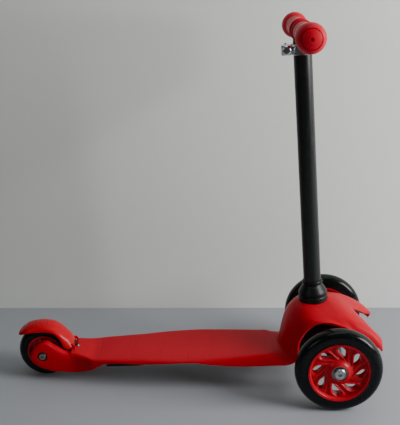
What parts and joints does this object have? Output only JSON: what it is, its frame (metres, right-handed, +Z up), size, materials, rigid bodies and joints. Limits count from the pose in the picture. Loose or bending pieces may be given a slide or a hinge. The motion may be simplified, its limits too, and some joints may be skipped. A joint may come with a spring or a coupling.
{
  "type": "kick scooter",
  "caption": "Three-wheeled lean-to-steer child's kick scooter with a red moulded deck, black post, height clamp, ball-ended grips and a rear fender brake.",
  "frame": {"origin": "on the ground, at the middle of the scooter's bounding box in plan", "axes": "+X forwards, towards the two front wheels; +Y to the rider's left; +Z up"},
  "size_m": [0.533, 0.2774, 0.5226],
  "materials": {
    "red_plastic": "satin moulded red plastic",
    "red_gloss": "glossy moulded red plastic",
    "red_hub": "glossy moulded red plastic",
    "red_grip": "soft red rubber, satin",
    "pale_ring": "pale pinkish grey ring",
    "black_plastic": "fine grained black plastic",
    "black_gloss": "glossy black plastic",
    "black_paint": "satin black powder coat",
    "bright_tube": "plated steel tube",
    "tyre": "glossy black cast tyre",
    "steel": "zinc plated steel",
    "bearing_steel": "ground bearing steel",
    "spring_steel": "oiled spring wire",
    "pale_plastic": "white bearing plastic",
    "chrome": "bright chrome plating"
  },
  "bodies": {
    "deck": {"deck_shell": "red_plastic", "deck_underplate": "black_plastic", "underplate_screws": "steel", "front_chassis": "black_plastic", "chassis_screws": "steel", "kingpin_bolt": "steel", "kingpin_nut": "steel", "rear_axle_sleeve": "steel", "rear_axle_bolt": "chrome", "rear_axle_nut": "steel", "rear_side_spacers": "black_plastic", "brake_bracket": "red_plastic", "brake_screw": "chrome", "brake_hinge_pin": "steel", "brake_spring": "spring_steel", "stem_collar": "black_gloss", "lower_tube": "black_paint", "post_screw": "steel", "post_screw_nut": "steel", "post_bushing": "black_plastic", "clamp_collar": "chrome", "clamp_bolt": "chrome", "clamp_nut": "chrome", "steering_spring_left": "spring_steel", "steering_spring_right": "spring_steel"},
    "front_axle": {"axle_beam": "black_plastic", "kingpin_bushes": "pale_plastic", "front_axle_bolt_left": "chrome", "front_axle_bolt_right": "chrome", "front_axle_sleeve_left": "steel", "front_axle_sleeve_right": "steel"},
    "wheel_left": {"front_tyre_left": "tyre", "front_hub_left": "red_hub", "front_bearings_left": "bearing_steel"},
    "wheel_right": {"front_tyre_right": "tyre", "front_hub_right": "red_hub", "front_bearings_right": "bearing_steel"},
    "rear_wheel": {"rear_tyre": "tyre", "rear_hub": "red_hub", "rear_bearings": "bearing_steel"},
    "brake": {"brake_fender": "red_gloss", "brake_wear_plate": "steel"},
    "handlebar": {"upper_tube": "bright_tube", "foot_plug": "black_plastic", "crossbar": "bright_tube", "tee_socket": "black_gloss", "grip_left": "red_grip", "grip_right": "red_grip", "grip_rings_left": "pale_ring", "grip_rings_right": "pale_ring"},
    "clamp_lever": {"clamp_lever": "chrome", "lever_pin": "steel"}
  },
  "joints": [
    {"name": "front_axle_steer", "type": "hinge", "parent": "deck", "child": "front_axle", "pos_m": [0.1995, 0, 0.06], "axis": [0.6428, 0, 0.766], "range_deg": [-12, 12], "stiffness_Nm_per_rad": 30, "deforming": ["steering_spring_left", "steering_spring_right"]},
    {"name": "wheel_left_spin", "type": "hinge", "parent": "front_axle", "child": "wheel_left", "pos_m": [0.1995, 0.0982, 0.06], "axis": [0, 1, 0], "continuous": true},
    {"name": "wheel_right_spin", "type": "hinge", "parent": "front_axle", "child": "wheel_right", "pos_m": [0.1995, -0.0982, 0.06], "axis": [0, 1, 0], "continuous": true},
    {"name": "rear_wheel_spin", "type": "hinge", "parent": "deck", "child": "rear_wheel", "pos_m": [-0.2265, 0, 0.04], "axis": [0, 1, 0], "continuous": true},
    {"name": "brake_press", "type": "hinge", "parent": "deck", "child": "brake", "pos_m": [-0.1835, 0, 0.0506], "axis": [0, -1, 0], "range_deg": [0, 2.5], "stiffness_Nm_per_rad": 2, "springref_deg": -5.73, "deforming": ["brake_spring"]},
    {"name": "handlebar_height", "type": "slide", "parent": "deck", "child": "handlebar", "axis": [-0.0637, 0, 0.998], "range_m": [0, 0.15]},
    {"name": "clamp_lever_swing", "type": "hinge", "parent": "deck", "child": "clamp_lever", "pos_m": [0.12847, 0.0124, 0.48113], "axis": [-0.0637, 0, 0.998], "range_deg": [0, 130]}
  ]
}
